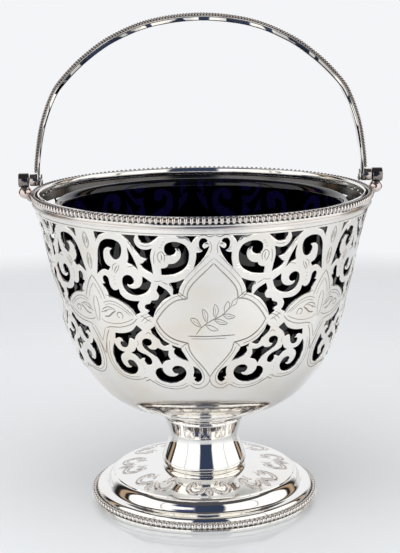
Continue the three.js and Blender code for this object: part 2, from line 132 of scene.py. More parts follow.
BAND_MOULDING = [
    (57.9, 106.7, 1), (58.3, 106.75), (58.6, 107), (58.68, 107.3), (58.55, 107.6), (58.2, 107.8, 1),
    (57.9, 107.8, 1),
]
LINER = [
    (20, 36.3, 1), (25.2, 37.9), (30.4, 40.5), (35.1, 44.4), (39.3, 50), (42.6, 56), (45.2, 63),
    (47.4, 71.5), (49.1, 81), (50.1, 92), (50.7, 102), (50.9, 106.2), (50.6, 107.1), (49.9, 107.6),
    (49.5, 107.6), (48.8, 107.3), (48.2, 106.6), (47.9, 105.4), (47.5, 97), (46.6, 84), (44.9, 73),
    (42.6, 64), (39.6, 57), (35.4, 50.6), (30.8, 45.6), (25.5, 42), (20, 40.9, 1),
]
LUG_OUTLINE = [
    (58, 107.2, 1), (59.2, 107.6), (60.4, 108.6), (61.4, 109.6), (62, 111), (62.2, 112.9, 1),
    (59.6, 113.1, 1), (59.3, 111.8), (58.9, 110.8), (58, 110.2, 1),
]
# Right half of the handle's curve, as shares of its half span and its rise
HOOP = [
    (1, 0), (0.994, 0.12), (0.96, 0.33), (0.893, 0.52), (0.818, 0.63), (0.69, 0.757), (0.524, 0.873),
    (0.293, 0.965), (0, 1),
]

# Openings sawn in one half sector, as angle from the cartouche's axis and height
OPENINGS = {
    "apex_curl": [(1.6, 101.5, 1), (2.3, 101), (3.1, 100.6), (3.7, 101), (3.9, 101.8), (3.4, 102.5),
        (2.5, 102.8, 1), (2.3, 103.4), (2.9, 104), (3.9, 104.1), (4.7, 103.2), (4.8, 101.8), (4.5, 100.7),
        (3.5, 100, 1), (4.3, 99.4), (5.6, 99.3, 1), (5.7, 97), (6.4, 94.3, 1), (4.3, 96.5), (2.5, 99.2)],
    "rim_wedge_left": [(5.7, 104.8, 1), (10.7, 104.8, 1), (8.5, 104.2), (7.2, 102.7, 1), (6.6, 103.8)],
    "upper_scroll": [(12.6, 100.9, 1), (12.3, 100.1), (12.8, 99), (14.1, 98.4), (15.4, 98.8), (15.9, 100),
        (15.7, 101.4), (14.8, 102.3), (13.1, 102.8), (11.1, 102.6), (9.2, 101.6), (8.2, 99.8), (8.1, 97.9),
        (8.6, 95.6), (10, 93.8), (12.4, 92.5), (14.7, 92), (17.2, 91.8, 1), (17.3, 93.8, 1), (16, 94),
        (15.1, 94.5, 1), (14.6, 95.4, 1), (13.1, 95.5), (11.4, 96.6), (10.6, 98.1), (10.7, 99.8),
        (11.5, 100.7)],
    "rim_cup": [(17.7, 104.6, 1), (24.2, 104.6, 1), (24.1, 103.5), (23.4, 102.4), (22.2, 102.1),
        (20.8, 102.3), (19.3, 103.3)],
    "leaf_gap": [(25.4, 104.5, 1), (29.8, 104.5, 1), (28, 102.7), (26.7, 100.8), (25.1, 98.8), (23.7, 97.5),
        (21.5, 97, 1), (22.6, 96.2), (23.5, 95.3), (24.5, 95, 1), (23, 93.6), (20.3, 92.2, 1), (20.6, 94.9),
        (20.9, 97), (20.7, 98.8), (20.2, 100.3, 1), (22.2, 99.8), (24.3, 100.2), (25.5, 101.4), (26, 103)],
    "stem_wedge": [(28.6, 100.1, 1), (28.5, 97.9), (28.6, 96.5), (29.1, 95.2, 1), (27.4, 94.7),
        (25.6, 93.2, 1), (26.6, 96), (27.6, 98.2)],
    "outer_scroll": [(30.9, 99.9), (31.5, 101.6), (33.7, 102.5), (36.6, 102.3), (38.7, 101), (40.2, 98.6),
        (40.9, 96.1), (41.4, 93.8), (42.4, 90.1, 1), (41.2, 91.1), (39.9, 91.9), (38.6, 92.2),
        (37.2, 91.9, 1), (36.2, 93.1, 1), (37.5, 93.7), (38.3, 95), (38.4, 96.8), (37.8, 98.8), (36.3, 99.8),
        (34, 99.5, 1), (35.2, 98.7), (35.4, 97.4), (34.5, 96.2), (33.3, 95.9), (31.9, 96.8), (31.2, 98.3)],
    "rim_wedge_right": [(36.5, 104.6, 1), (40.6, 104.6, 1), (40.4, 101.8, 1), (38.9, 103.6)],
    "middle_scroll": [(24, 90.8, 1), (21.1, 89, 1), (22, 86.9), (23.9, 85.2), (27.2, 84.4), (30, 85.1),
        (31.6, 86.8), (31.9, 88.6), (31.3, 90.1), (29.7, 90.9), (28.2, 90.5), (27.4, 89.3), (28, 88.2),
        (29.2, 87.8), (30.2, 88.1, 1), (30, 87.2), (28.8, 86.5), (27.2, 86.4), (25.4, 87.1), (24.3, 88.6)],
    "shoulder_wedge": [(9.6, 90.5, 1), (11.9, 89.6), (14.5, 89.1, 1), (13.5, 87.4), (13.5, 85.3, 1),
        (11.8, 85.6, 1), (11.2, 87.8)],
    "shoulder_bean": [(18.5, 88.2, 1), (19.3, 86.2, 1), (18.4, 84.8), (19.2, 83.2), (21.3, 82.8, 1),
        (21.8, 81.8), (23.6, 81.2), (23.9, 80.2), (22.7, 79.8), (22.1, 79.3), (23.1, 78.5, 1),
        (21.1, 77.2, 1), (20.2, 79.5), (18.8, 81.5), (16.8, 83.5), (14.4, 84.8, 1), (15.8, 86.6)],
    "hook_gap": [(38.9, 89.9), (37.7, 89.2), (37.5, 87.7), (37.1, 86.3), (36.1, 85.3), (34.8, 85.2),
        (33.7, 85.7, 1), (33.3, 84.2), (31.5, 82.8), (29, 82.2), (26, 82.3, 1), (26.8, 80.9), (26.5, 79.5),
        (25.8, 78.6, 1), (27.6, 77.7, 1), (28.9, 79.5), (31.5, 81.2), (34.8, 82.3), (38.2, 82.7, 1),
        (38.6, 84.2), (39.5, 85.7), (40.6, 86.8, 1), (38.9, 87.2, 1), (39.9, 87.8), (40, 89.2)],
    "lower_hook": [(27.9, 73.8, 1), (29.8, 71.9), (32.4, 70.8), (35.2, 70.3), (37.7, 70.2, 1),
        (38.2, 68.2, 1), (36.8, 68.8), (35.3, 68.7), (34.2, 67.4, 1), (35.6, 67.4), (36.2, 66.5),
        (35.3, 65.6), (33.7, 65.7), (32.6, 66.7), (32.1, 68.2), (31.5, 69.2), (30.3, 69.2), (29.5, 68.8, 1),
        (28.4, 70.6), (25.9, 72.4, 1)],
    "waist_slit": [(20.8, 74, 1), (22.4, 72.9, 1), (21.8, 71.5, 1), (20.5, 70.5), (19.2, 69.5), (18.6, 68.2),
        (17.4, 67.5), (15.5, 68.2, 1), (17.5, 69.2), (19.1, 70.8), (20.2, 72.4)],
    "branch_gap": [(24.5, 67, 1), (23.2, 67.3), (22.5, 68.2), (22.9, 69.2), (24.6, 69.5), (26, 68.8),
        (26.4, 67.4), (25.5, 65.9), (23.3, 64.6), (20.9, 63.2), (19.9, 61.8), (19.2, 60.5, 1), (17.9, 61.9),
        (15.6, 62.6, 1), (16.4, 64), (16.1, 65.7, 1), (18.1, 65.7), (20.2, 66.5, 1), (21.2, 65.8),
        (22.8, 65.7), (24, 66.2)],
    "frame_wedge": [(11.3, 66.8, 1), (13, 67.2), (14.6, 67.8, 1), (14.3, 67.1), (13.3, 66.7, 1), (14, 65.4),
        (13.1, 64.2), (11, 63.2), (8.5, 62.2, 1), (10, 64.5), (11, 65.9)],
    "small_hook": [(29.1, 65.9, 1), (30.2, 64.5), (31.8, 63.8, 1), (29.8, 63.1), (28.3, 61.7, 1),
        (27.4, 62.3), (25.8, 62.5, 1), (26.4, 61.4), (25.7, 60.3), (24.6, 60), (23.4, 60.8), (23.5, 62.2),
        (25, 63.4), (27.2, 64.1), (28.7, 64.9)],
    "lower_scroll": [(19.3, 59.2, 1), (20.8, 59), (22.1, 58), (22.5, 56.7), (21.7, 55.1), (19.6, 54.1),
        (16.5, 53.6), (13.4, 54.1), (11, 55.4), (9.7, 57.2), (10, 59), (11.4, 60.1), (13.1, 60.3),
        (14.5, 59.8), (15.2, 58.8), (14.5, 57.8), (12.4, 57.5, 1), (13.6, 56.5), (15.8, 56.1), (17.9, 56.7),
        (19.1, 58)],
    "drop": [(6.6, 60.2, 1), (6.3, 58.4), (6.7, 56.3, 1), (5.3, 56, 1), (6.3, 55.4), (5.7, 54.6),
        (4.3, 54.5), (3.4, 55.5), (3.3, 57), (4.5, 59)],
    "outer_lower_scroll": [(39.1, 66.4, 1), (40.3, 64.5), (41, 61.8), (40.5, 59), (38.8, 56.7), (35.7, 55.5),
        (32.7, 55.8), (30.7, 57.2), (30.2, 59), (31.4, 60.6), (33, 61), (34.4, 60.3), (34.1, 59.1),
        (32.8, 58.4, 1), (34.8, 57.8), (36.5, 58.6), (37.5, 60.5), (37, 62.4), (35, 63.7, 1), (37, 64),
        (38.3, 65.1)],
}

# Lines cut into one half sector of the bowl, as width and as angle and height
ENGRAVING = [
    (0.42, [(0, 95.8, 1), (2.5, 93.3), (5.1, 90.8), (7.4, 88.2), (8.5, 86), (8.7, 84, 1), (12, 83.4),
        (14.6, 82), (17.2, 79.6), (19.2, 77.1), (19.9, 76, 1), (18.6, 73.8), (16.5, 71.6), (14, 70.1),
        (11, 69.2), (8.5, 68.7, 1), (7.9, 66.2), (6.4, 63.9), (4, 61.3), (1.8, 58.9), (0, 56.3)]),
    (0.22, [(0, 97.6, 1), (3, 94.9), (5.9, 92.2), (8.5, 89.3), (9.8, 86.8), (10.1, 85.1, 1), (12.5, 84.7),
        (15.4, 83.2), (18.2, 80.7), (20.4, 78.1)]),
    (0.18, [(1.6, 98.6), (4.2, 96), (6.9, 93.4), (9.4, 90.7)]),
    (0.3, [(8.7, 84), (10.1, 85.1), (11.6, 86.2)]),
    (0.24, [(9.2, 83.4), (10.7, 84.4), (12.4, 85.9)]),
    (0.22, [(20.9, 74.9), (19.6, 72.8), (17.3, 70.4), (14.6, 68.9), (11.9, 68.1)]),
    (0.3, [(8.5, 68.7), (9.9, 68.1), (11.2, 66.9)]),
    (0.22, [(9.6, 67.4), (8.8, 65.6), (7.3, 63.4), (5, 60.9), (3.2, 58.7), (2.3, 56.6), (2.6, 54.6),
        (4.1, 53.4), (6.1, 53.4), (7.5, 54.2)]),
    (0.3, [(0, 56.3), (0.2, 54.6), (1.4, 53), (3.6, 52), (6, 51.9), (8.4, 53.2)]),
    (0.3, [(8.4, 53.2), (9.2, 52.9), (11.4, 51.9), (14.5, 51.3), (18, 51.5), (21.5, 52.3), (24.4, 53.6),
        (26, 54.4)]),
    (0.18, [(9.4, 53.9), (12, 52.8), (15.2, 52.3), (18.6, 52.5), (21.6, 53.3), (23.6, 54.4)]),
    (0.42, [(25.4, 54.6), (26.6, 53.9), (28, 53.5)]),
    (0.3, [(26.2, 55.2), (27.3, 54.9), (28.4, 55.1)]),
    (0.3, [(27.6, 54.6), (30.5, 53.9), (34, 53.5), (37.8, 53.8), (41, 55.2), (43.2, 57.7), (44, 60.6),
        (43.6, 64.2), (42.6, 67.6)]),
    (0.2, [(30, 54.9), (34, 54.5), (37.4, 54.8), (40.2, 56.1), (42, 58.3), (42.6, 61), (42.3, 64.2),
        (41.4, 67)]),
    (0.3, [(27.4, 77), (28.4, 78.2), (30.2, 80), (33.3, 81.8), (37.2, 82.9), (39.8, 83.2)]),
    (0.22, [(28.6, 77), (29.8, 77.9), (31.6, 79.1), (34.5, 80.7), (38, 81.3), (41.4, 80.4)]),
    (0.18, [(29.8, 77), (31.8, 78.3), (34.8, 79.8), (38, 80.3), (40.8, 79.6)]),
    (0.3, [(27.2, 76.4), (29.2, 74.6), (32, 73.3), (35.5, 72.5), (39.2, 72.2), (41.6, 71.6)]),
    (0.22, [(28.8, 76.2), (31.2, 75), (34.4, 74), (38, 73.5), (41.6, 73.7), (43.4, 74.6)]),
    (0.34, [(33.6, 75.6), (33.1, 76.6), (33.8, 77.6), (35, 77.7), (35.7, 76.8), (35.2, 75.9), (34.4, 76.1)]),
    (0.5, [(36, 78.1), (37.6, 77.2), (39.4, 75.9), (41.6, 75.6)]),
    (0.3, [(36.2, 78.3), (38.4, 79.1), (40.4, 78.9), (42.4, 77.8)]),
    (0.26, [(37.6, 78.4), (39.2, 78.3), (41.4, 77)]),
    (0.26, [(40.2, 78), (41.2, 77.5), (43.2, 76.8)]),
    (0.34, [(40.2, 81.6), (41.4, 84.4), (43.4, 87.6), (45, 89.4)]),
    (0.22, [(41.8, 81.4), (43, 84.2), (45, 86.8)]),
    (0.34, [(40.4, 71.2), (42.2, 68.4), (43.8, 64.6), (45, 61.8)]),
    (0.22, [(42.2, 71.6), (43.6, 69), (45, 66.4)]),
    (0.34, [(44.9, 91.4), (44, 93.4), (44.1, 95.2), (44.9, 97.2)]),
    (0.34, [(44.9, 98.4), (43.9, 100.4), (44, 102.2), (44.9, 104.2)]),
    (0.4, [(44.6, 92.8), (44.5, 94.2), (44.7, 95.6)]),
    (0.4, [(44.6, 100), (44.5, 101.4), (44.7, 102.6)]),
    (0.3, [(44.6, 82.4), (43.8, 79.8), (43.9, 76.8), (44.6, 73.4)]),
    (0.26, [(21.4, 77.4), (22.8, 77.4), (24.4, 76.6), (25.8, 75.4)]),
    (0.26, [(21.8, 75.7), (23, 76), (24.6, 77), (25.8, 77.5)]),
    (0.18, [(22.2, 76.6), (23.4, 75.8), (24.6, 74.8)]),
    (0.18, [(23.2, 78.2), (24.6, 77.7), (26.2, 76.7)]),
    (0.3, [(15.7, 102.9), (16.6, 102.6)]),
    (0.3, [(16.3, 101.9), (17.1, 101.7)]),
    (0.3, [(16.8, 100.9), (17.6, 100.8)]),
    (0.26, [(16.2, 96.2), (15.9, 98), (16.9, 99.5), (18.2, 98.7), (18.2, 97), (17.3, 95.7)]),
    (0.3, [(17.1, 98.8), (16.9, 97.4), (17.2, 96.4)]),
    (0.22, [(19.6, 95.2), (19.6, 97.6), (19, 99.8)]),
    (0.24, [(32.4, 94.2), (33, 92.6), (34.4, 91.1)]),
    (0.3, [(33.1, 93.9), (34, 92.8), (34.8, 91.4)]),
    (0.22, [(33.4, 94.6), (34.9, 93.8), (35.3, 92)]),
    (0.3, [(34.5, 90.1), (35.3, 89.8)]),
    (0.3, [(34.7, 88.9), (35.5, 88.7)]),
    (0.3, [(34.6, 87.7), (35.3, 87.4)]),
    (0.2, [(25.4, 94.1), (27.2, 94.2), (29.4, 93.6)]),
    (0.2, [(17.2, 89.9), (18.6, 89.5), (20, 89.6)]),
    (0.24, [(15.2, 88.5), (16.4, 89.1), (17.4, 89.5)]),
    (0.2, [(26.4, 99.2), (27.2, 101), (28.4, 102.6)]),
    (0.2, [(20.2, 101.5), (22.2, 101.1), (24, 101.4)]),
    (0.26, [(0, 105.2), (1.7, 104.6), (3.2, 105.3), (4.8, 104.9)]),
    (0.2, [(1.2, 99), (0.9, 101.4), (1.6, 103.4)]),
    (0.24, [(22.2, 71), (23.4, 71.8), (24.6, 71)]),
    (0.2, [(28.4, 68.6), (28, 67.2), (28.6, 66.8)]),
    (0.26, [(26.9, 59.6), (27.6, 59.4)]),
    (0.26, [(26.8, 58.4), (27.6, 58.2)]),
    (0.26, [(26.7, 57.2), (27.5, 57)]),
    (0.2, [(0, 105.4), (15, 105.4), (30, 105.4), (45, 105.4)]),
]

# A spray of leaves on a line of ground, cut once in the front cartouche
SPRAY = [
    (0.3, [(-8.6, 71.2), (0, 71.1), (8.8, 71.3)]),
    (0.2, [(-7.4, 70.3), (-1, 70.2), (5.6, 70.3)]),
    (0.34, [(-5.6, 71.6), (-3.6, 74.2), (-0.4, 76.4), (3.4, 78.2), (6.6, 81.2)]),
    (0.26, [(-3.6, 74.2), (-5.9, 75.1), (-7.6, 77.2), (-5.4, 77), (-3.6, 74.2)]),
    (0.26, [(-1.6, 75.7), (-3, 77.6), (-3.4, 80.4), (-1.6, 78.9), (-1.6, 75.7)]),
    (0.26, [(1.2, 77.2), (0.4, 79.4), (0.9, 82), (2.2, 80), (1.2, 77.2)]),
    (0.26, [(-2.4, 75.1), (0, 74.7), (2.4, 73.2), (0, 73.1), (-2.4, 75.1)]),
    (0.26, [(0.6, 76.9), (3, 76.8), (5.6, 75.4), (3, 75.2), (0.6, 76.9)]),
    (0.26, [(3.6, 78.4), (5.8, 78.6), (8.2, 77.6), (5.8, 76.9), (3.6, 78.4)]),
    (0.26, [(4.4, 79), (4.2, 81), (5.4, 82.9), (6.1, 81), (4.4, 79)]),
    (0.26, [(6.6, 81.2), (7, 82.8), (8.6, 83.8), (8.2, 81.9), (6.6, 81.2)]),
    (0.16, [(-4, 74.8), (-5.6, 75.9), (-6.8, 76.8)]),
    (0.16, [(-1.9, 76.4), (-2.4, 78.2), (-3, 79.6)]),
    (0.16, [(1.2, 77.8), (1.1, 79.4), (1.1, 81)]),
    (0.16, [(1.3, 76.5), (3, 76), (4.8, 75.6)]),
    (0.16, [(4.3, 78.2), (5.8, 77.8), (7.4, 77.6)]),
]

# One half of a sprig on the dome of the foot, as width and as angle and radius: soft bands, then fine lines
SPRIG_BANDS = [
    (2, [(2.6, 25.4), (4.8, 27.4), (8.6, 28.8), (12.6, 28.4), (15.4, 26.2), (15.4, 23.8), (13.2, 22.4),
        (11.2, 23.4), (11.4, 25)]),
    (1.5, [(0, 30.6), (1.4, 28.4), (0, 25.8)]),
    (1.2, [(5, 24.4), (7.6, 22.4), (7.2, 20.4)]),
]
SPRIG_LINES = [
    (0.16, [(1.4, 24.6), (3.8, 28.2), (8.4, 30), (13.2, 29.5), (16.8, 26.8), (16.9, 23.2), (13.6, 21.3),
        (10.4, 22.4), (10.6, 24.8), (12.8, 25.2)]),
    (0.2, [(3.8, 25), (5.8, 26.6), (9, 27.5), (12.2, 27.2), (14, 25.4)]),
    (0.26, [(0, 31.2), (2.1, 28.4), (0.9, 26), (0, 24.4)]),
]


# Lines and places

def flowing(points, step, loop=False):
    """Points about a step apart on a line that flows through the given ones, with corners at the marked."""
    marks = [len(p) > 2 for p in points]
    spots = [Vector(p[:2]) for p in points]
    count = len(spots)
    line = []
    for i in range(count if loop else count - 1):
        start, end = spots[i], spots[(i + 1) % count]
        leaves = arrives = end - start
        if not marks[i] and (loop or i > 0):
            leaves = (end - spots[i - 1]) / 2
        if not marks[(i + 1) % count] and (loop or i + 2 < count):
            arrives = (spots[(i + 2) % count] - start) / 2
        parts = max(1, round((end - start).length / step))
        for k in range(parts):
            t = k / parts
            line.append(
                start * (2 * t**3 - 3 * t**2 + 1) + leaves * (t**3 - 2 * t**2 + t)
                + end * (3 * t**2 - 2 * t**3) + arrives * (t**3 - t**2)
            )
    if not loop:
        line.append(spots[-1])
    return [(p.x, p.y) for p in line]


class Course:
    """A line of radius and height, or of any two lengths, read by the distance run along it."""

    GLANCE = 0.25

    def __init__(self, line):
        self.line = np.array(line, float)
        legs = np.linalg.norm(np.diff(self.line, axis=0), axis=1)
        self.run = np.concatenate([[0], np.cumsum(legs)])
        self.length = self.run[-1]

    def at(self, run):
        return np.interp(run, self.run, self.line[:, 0]), np.interp(run, self.run, self.line[:, 1])

    def heading(self, run):
        """Direction of the line, from a glance ahead and a glance back."""
        ahead = self.at(np.clip(run + self.GLANCE, 0, self.length))
        behind = self.at(np.clip(run - self.GLANCE, 0, self.length))
        dx, dy = ahead[0] - behind[0], ahead[1] - behind[1]
        size = np.hypot(dx, dy)
        return dx / size, dy / size

    def height_at(self, radius):
        """Height at a radius that the line passes once, as it does on the dome of the foot."""
        order = np.argsort(self.line[:, 0], kind="stable")
        return np.interp(radius, self.line[order, 0], self.line[order, 1])

    def run_at_height(self, height):
        """Distance run where the line reaches a height, above its lowest level part."""
        rising = np.searchsorted(self.line[:, 1], self.line[0, 1] + 1e-6)
        return np.interp(height, self.line[rising:, 1], self.run[rising:])


bowl_course = Course(flowing(BOWL_OUTSIDE, TURNED_STEP))
foot_course = Course(flowing(FOOT_OUTSIDE, TURNED_STEP))
hoop_right = [(x * HANDLE_HALF_SPAN, PIVOT_HEIGHT + z * HANDLE_RISE) for x, z in HOOP]
hoop_left = [(-x, z) for x, z in hoop_right[:-1]]
hoop_course = Course(flowing([*hoop_left, *hoop_right[::-1]], TURNED_STEP))


def bowl_place(turn, height):
    """Place on the bowl's flat sheet."""
    return turn * BOWL_DEGREE, float(bowl_course.run_at_height(height))


def dome_place(turn, radius):
    """Place on the dome's flat sheet."""
    return turn * DOME_DEGREE, radius


def bowl_directions(flat):
    """Places on the bowl's outside for rows of turn, run and height above it, and its directions there."""
    turn, run, above = flat.T
    radius, height = bowl_course.at(run)
    rise_r, rise_z = bowl_course.heading(run)
    angle = np.radians(turn / BOWL_DEGREE + LEAN * (height - LEAN_MIDDLE) / LEAN_SPAN)
    sin, cos = np.sin(angle), np.cos(angle)
    out = radius + above * rise_z
    place = np.column_stack([out * sin, -out * cos, height - above * rise_r])
    along = np.column_stack([cos, sin, 0 * cos])
    up = np.column_stack([rise_r * sin, -rise_r * cos, rise_z])
    away = np.column_stack([rise_z * sin, -rise_z * cos, -rise_r])
    return place, along, up, away


def on_bowl(flat):
    return bowl_directions(flat)[0]


def on_dome(flat):
    """Places on the foot's dome for rows of turn, radius and height above it."""
    turn, radius, above = flat.T
    angle = np.radians(turn / DOME_DEGREE)
    height = foot_course.height_at(radius)
    return np.column_stack([radius * np.sin(angle), -radius * np.cos(angle), height + above])


def on_hoop(flat):
    """Places on the handle for rows of run from its left end, distance to the back and depth inward."""
    run, back, inward = flat.T
    x, z = hoop_course.at(run)
    east, rise = hoop_course.heading(run)
    return np.column_stack([x + inward * rise, back, z - inward * east])


# Modelling

def deselect_all():
    if bpy.context.object and bpy.context.object.mode != "OBJECT":
        bpy.ops.object.mode_set(mode="OBJECT")
    bpy.ops.object.select_all(action="DESELECT")


def pick(piece):
    deselect_all()
    piece.select_set(True)
    bpy.context.view_layer.objects.active = piece


@contextmanager
def editing(piece, action="SELECT"):
    """Edit mode on a piece, with all of it selected or none."""
    pick(piece)
    bpy.ops.object.mode_set(mode="EDIT")
    bpy.ops.mesh.select_all(action=action)
    yield
    bpy.ops.object.mode_set(mode="OBJECT")


def settle(name=None):
    """Names the active piece and puts its place, turn and scale into its mesh."""
    piece = bpy.context.object
    if name:
        piece.name = piece.data.name = name
    bpy.ops.object.transform_apply(location=True, rotation=True, scale=True)
    return piece


def add(name, kind, **settings):
    """A new primitive of a kind, with its place in its mesh."""
    deselect_all()
    getattr(bpy.ops.mesh, "primitive_" + kind + "_add")(**settings)
    return settle(name)


def join(name, *pieces):
    deselect_all()
    for piece in pieces:
        piece.select_set(True)
    bpy.context.view_layer.objects.active = pieces[0]
    bpy.ops.object.join()
    return settle(name)


def paint(piece, *materials):
    for material in materials:
        piece.data.materials.append(material)
    return piece


def merge_close():
    bpy.ops.mesh.remove_doubles(threshold=CLOSE)


def face_out():
    bpy.ops.mesh.normals_make_consistent(inside=False)


def set_all(thing, settings):
    for key, value in settings.items():
        setattr(thing, key, value)
    return thing


def finish_with(piece, kind, **settings):
    """Adds a modifier to a piece and applies it."""
    pick(piece)
    modifier = set_all(piece.modifiers.new(kind.title(), kind), settings)
    bpy.ops.object.modifier_apply(modifier=modifier.name)


def repeat_along(piece, count, pitch, **merging):
    """A row of copies along X, each a pitch from the last."""
    finish_with(
        piece, "ARRAY", count=count, use_relative_offset=False, use_constant_offset=True,
        constant_offset_displace=(pitch * MM, 0, 0), **merging,
    )


def smooth(piece, degrees=35):
    pick(piece)
    bpy.ops.object.shade_smooth_by_angle(angle=math.radians(degrees))
    return piece


def turned(name, outline, steps=160, ring=True):
    """A circle, drawn out and widened along an outline, and closed to a ring or by flat ends."""
    radius, height = outline[0]
    piece = add(name, "circle", vertices=steps, radius=radius * MM, location=(0, 0, height * MM))
    with editing(piece):
        for wider, higher in [*outline[1:], *outline[: 1 if ring else 0]]:
            rise, widening = (higher - height) * MM, wider / radius
            bpy.ops.mesh.extrude_edges_move(TRANSFORM_OT_translate={"value": (0, 0, rise)})
            bpy.ops.transform.resize(value=(widening, widening, 1), center_override=(0, 0, 0))
            radius, height = wider, higher
        bpy.ops.mesh.select_all(action="SELECT")
        merge_close()
        if not ring:
            bpy.ops.mesh.fill_holes(sides=0)
            bpy.ops.mesh.select_all(action="SELECT")
        face_out()
    return smooth(piece)


def shell(name, outside, wall):
    """Turned piece with an even wall inside its outline."""
    course = Course(outside)
    east, rise = course.heading(course.run)
    inside = course.line + np.column_stack([-rise, east]) * wall
    return turned(name, [*outside, *(tuple(p) for p in inside[::-1])])


def egg(name, place, halves, mesh):
    """Sphere of three half sizes."""
    spot, size = [v * MM for v in place], [v * MM for v in halves]
    return add(name, "uv_sphere", segments=mesh[0], ring_count=mesh[1], radius=1, location=spot, scale=size)


def rod(name, radius, middle, length, height, sides, ends="NGON"):
    """Round bar along X."""
    return add(
        name, "cylinder", vertices=sides, radius=radius * MM, depth=length * MM,
        location=(middle * MM, 0, height * MM), rotation=(0, math.pi / 2, 0), end_fill_type=ends,
    )


def bead_ring(name, outside, between, beads):
    """One bead, repeated round the axis, and the wire that runs through all of them."""
    radius, height, count, width, depth, tall, core = beads
    bead = egg(name, (radius, 0, height), (depth / 2, width / 2, tall / 2), BEAD_MESH)
    angle = 2 * math.pi * (count - 1) / count
    with editing(bead):
        bpy.ops.mesh.spin(steps=count - 1, dupli=True, angle=angle, center=(0, 0, 0), axis=(0, 0, 1))
    wire = add(
        "wire", "torus", major_radius=radius * MM, minor_radius=core * MM, major_segments=count,
        minor_segments=8, location=(0, 0, height * MM),
    )
    return smooth(join(name, paint(bead, metal[outside]), paint(wire, metal[between])), 80)


def new_drawing(name, dimensions, **settings):
    drawing = bpy.data.curves.new(name, "CURVE")
    drawing.dimensions = dimensions
    return set_all(drawing, {"bevel_resolution": 0, **settings})


def add_line(drawing, line, closed=False):
    spline = drawing.splines.new("POLY")
    spline.points.add(len(line) - 1)
    spline.use_cyclic_u = closed
    for point, (x, y) in zip(spline.points, line):
        point.co = (x * MM, y * MM, 0, 1)
    return spline.points


def mesh_of(name, drawing):
    piece = bpy.data.objects.new(name, drawing)
    bpy.context.collection.objects.link(piece)
    pick(piece)
    bpy.ops.object.convert(target="MESH")
    return settle(name)


def sheet_of(name, lines, thickness, softened, level=0, filed=0):
    """Flat plate filled between closed lines, with softened edges; a line inside another is a hole."""
    drawing = new_drawing(
        name, "2D", fill_mode="BOTH", extrude=(thickness / 2 - softened) * MM, bevel_depth=softened * MM,
        offset=-(softened + filed) * MM,
    )
    for line in lines:
        add_line(drawing, line, closed=True)
    plate = mesh_of(name, drawing)
    with editing(plate):
        merge_close()
        bpy.ops.transform.translate(value=(0, 0, level * MM))
    return plate


def cut_lines(name, strokes, place, proud=0.06):
    """Graver's strokes as low ridges of three-cornered section on a flat plate, thin at both ends."""
    tip, taper, flattened = 0.35, 1.2, 0.4
    drawing = new_drawing(name, "3D", twist_mode="Z_UP", bevel_depth=MM, use_fill_caps=True)
    for width, points in strokes:
        course = Course(flowing([(*place(*p[:2]), *p[2:]) for p in points], STROKE_STEP))
        for point, run in zip(add_line(drawing, course.line), course.run):
            point.radius = width / 2 * min(1, tip + min(run, course.length - run) / taper)
    cuts = mesh_of(name, drawing)
    flat = laid_flat(cuts)
    flat[:, 2] = np.clip(flat[:, 2] * flattened, -proud, proud)
    move_points(cuts, flat)
    return cuts


def cut_across(piece, axis, places, **clear):
    """Cuts a piece by planes square to an axis, and may clear what lies below (inner) or above (outer)."""
    normal = tuple(float(i == axis) for i in range(3))
    with editing(piece):
        for place in places:
            bpy.ops.mesh.select_all(action="SELECT")
            spot = tuple(n * place * MM for n in normal)
            bpy.ops.mesh.bisect(plane_co=spot, plane_no=normal, threshold=1e-7, **clear)


def rows_of(items, key):
    rows = np.empty(len(items) * 3)
    items.foreach_get(key, rows)
    return rows.reshape(-1, 3)


def laid_flat(piece):
    """A piece's points as rows in millimetres."""
    return rows_of(piece.data.vertices, "co") / MM


def move_points(piece, place):
    piece.data.vertices.foreach_set("co", (place * MM).ravel())
    piece.data.update()


def wrap(piece, surface):
    """Bends a flat piece on to a surface."""
    move_points(piece, surface(laid_flat(piece)))


def store_normals(piece):
    """Keeps a flat piece's normals and points as attributes, which stay right while its mesh is edited."""
    normal, flat = rows_of(piece.data.corner_normals, "vector"), laid_flat(piece)
    for name, domain, rows in (("flat_normal", "CORNER", normal), ("flat_place", "POINT", flat)):
        stored = piece.data.attributes.new(name, "FLOAT_VECTOR", domain)
        stored.data.foreach_set("vector", rows.ravel())


def restore_normals(piece, directions):
    """Gives a bent piece its flat normals, turned with the surface, so that large even faces stay even."""
    mesh = piece.data
    normal, flat = (rows_of(mesh.attributes[name].data, "vector") for name in ("flat_normal", "flat_place"))
    vertex = np.empty(len(mesh.loops), int)
    mesh.loops.foreach_get("vertex_index", vertex)
    _, along, up, away = directions(flat[vertex])
    turned_normal = along * normal[:, :1] + up * normal[:, 1:2] + away * normal[:, 2:]
    mesh.normals_split_custom_set(turned_normal.tolist())
    for name in ("flat_normal", "flat_place"):
        mesh.attributes.remove(mesh.attributes[name])


# The bowl and the cut ornament

